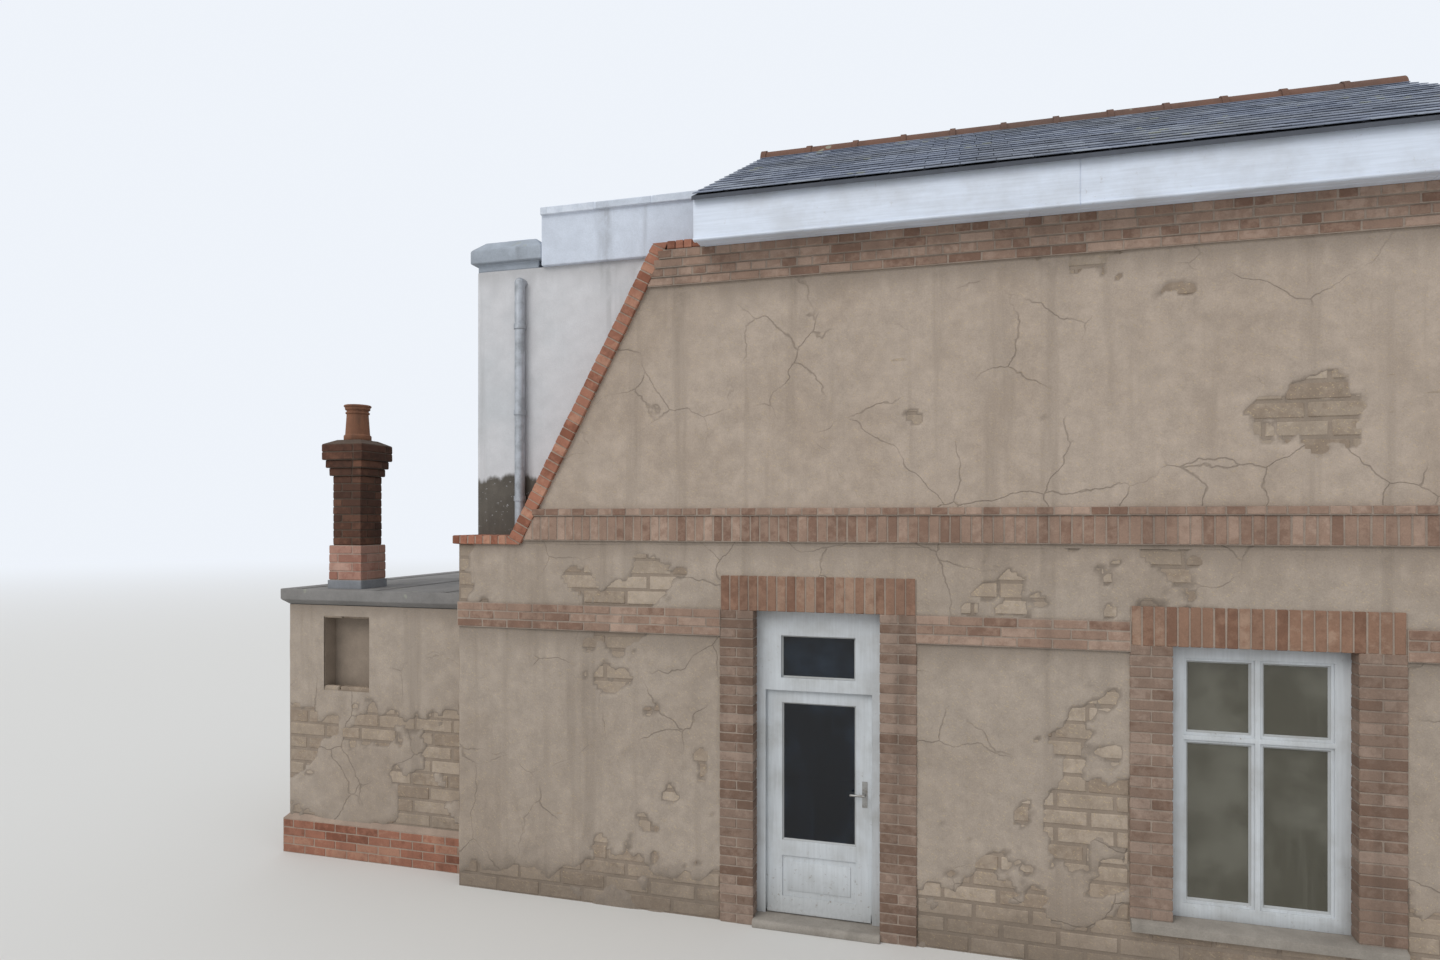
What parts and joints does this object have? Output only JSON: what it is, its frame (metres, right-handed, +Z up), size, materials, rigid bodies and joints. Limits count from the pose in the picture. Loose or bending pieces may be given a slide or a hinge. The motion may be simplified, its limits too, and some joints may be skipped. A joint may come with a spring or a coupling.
{
  "type": "earth-walled house",
  "caption": "Small earth-walled house with brick dressings, a glazed front door, a raked front wall, a pitched slate roof, a whitewashed upper room and a low flat-roofed wing.",
  "frame": {"origin": "on the ground, under the middle of the door's threshold, on the outer face of the front wall", "axes": "+X to the right along the front seen from outside, +Y into the house, +Z up"},
  "size_m": [9.82, 4.8, 6.9212],
  "materials": {
    "earth_render": "matte",
    "brick_band": "matte",
    "red_brick": "matte",
    "whitewash": "matte",
    "pale_paint": "satin",
    "frame_paint": "satin",
    "roof_slate": "matte",
    "fired_clay": "matte",
    "dressed_stone": "matte",
    "floor_earth": "matte",
    "floor_timber": "matte",
    "zinc": "satin",
    "iron": "satin",
    "glass": "gloss"
  },
  "bodies": {
    "house": {"floor_slab": "floor_earth", "threshold": "dressed_stone", "front_wall_left": "earth_render", "front_wall_middle": "earth_render", "front_wall_right": "earth_render", "wall_over_door": "earth_render", "walls_at_window": "earth_render", "brick_jambs": "brick_band", "lintels": "red_brick", "window_sill": "dressed_stone", "left_end_wall": "earth_render", "right_end_wall": "earth_render", "back_wall": "earth_render", "upper_floor": "floor_timber", "string_bands": "brick_band", "upper_front_wall": "earth_render", "wall_coping": "red_brick", "upper_back_wall": "earth_render", "left_gable_wall": "earth_render", "right_gable_wall": "earth_render", "fascias": "pale_paint", "soffits": "pale_paint", "roof_front": "roof_slate", "roof_back": "roof_slate", "ridge_tiles": "fired_clay", "room_front_wall": "whitewash", "room_left_wall": "whitewash", "room_back_wall": "whitewash", "room_roof": "whitewash", "room_parapet": "whitewash", "stack": "whitewash", "stack_cap": "dressed_stone", "downpipe": "zinc", "wing_front_wall": "earth_render", "wing_left_wall": "earth_render", "wing_back_wall": "earth_render", "wing_roof": "earth_render", "wing_plinth": "red_brick", "flue_base": "red_brick", "flue_shaft": "red_brick", "flue_head": "red_brick", "flue_pot": "fired_clay", "door_frame": "frame_paint", "window_frame": "frame_paint", "fixed_glass": "glass"},
    "door": {"door_leaf": "frame_paint", "door_glass": "glass", "door_handle": "iron"}
  },
  "joints": [
    {"name": "door_hinge", "type": "hinge", "parent": "house", "child": "door", "pos_m": [-0.4275, 0.193, 1], "axis": [0, 0, 1], "range_deg": [0, 90]}
  ]
}
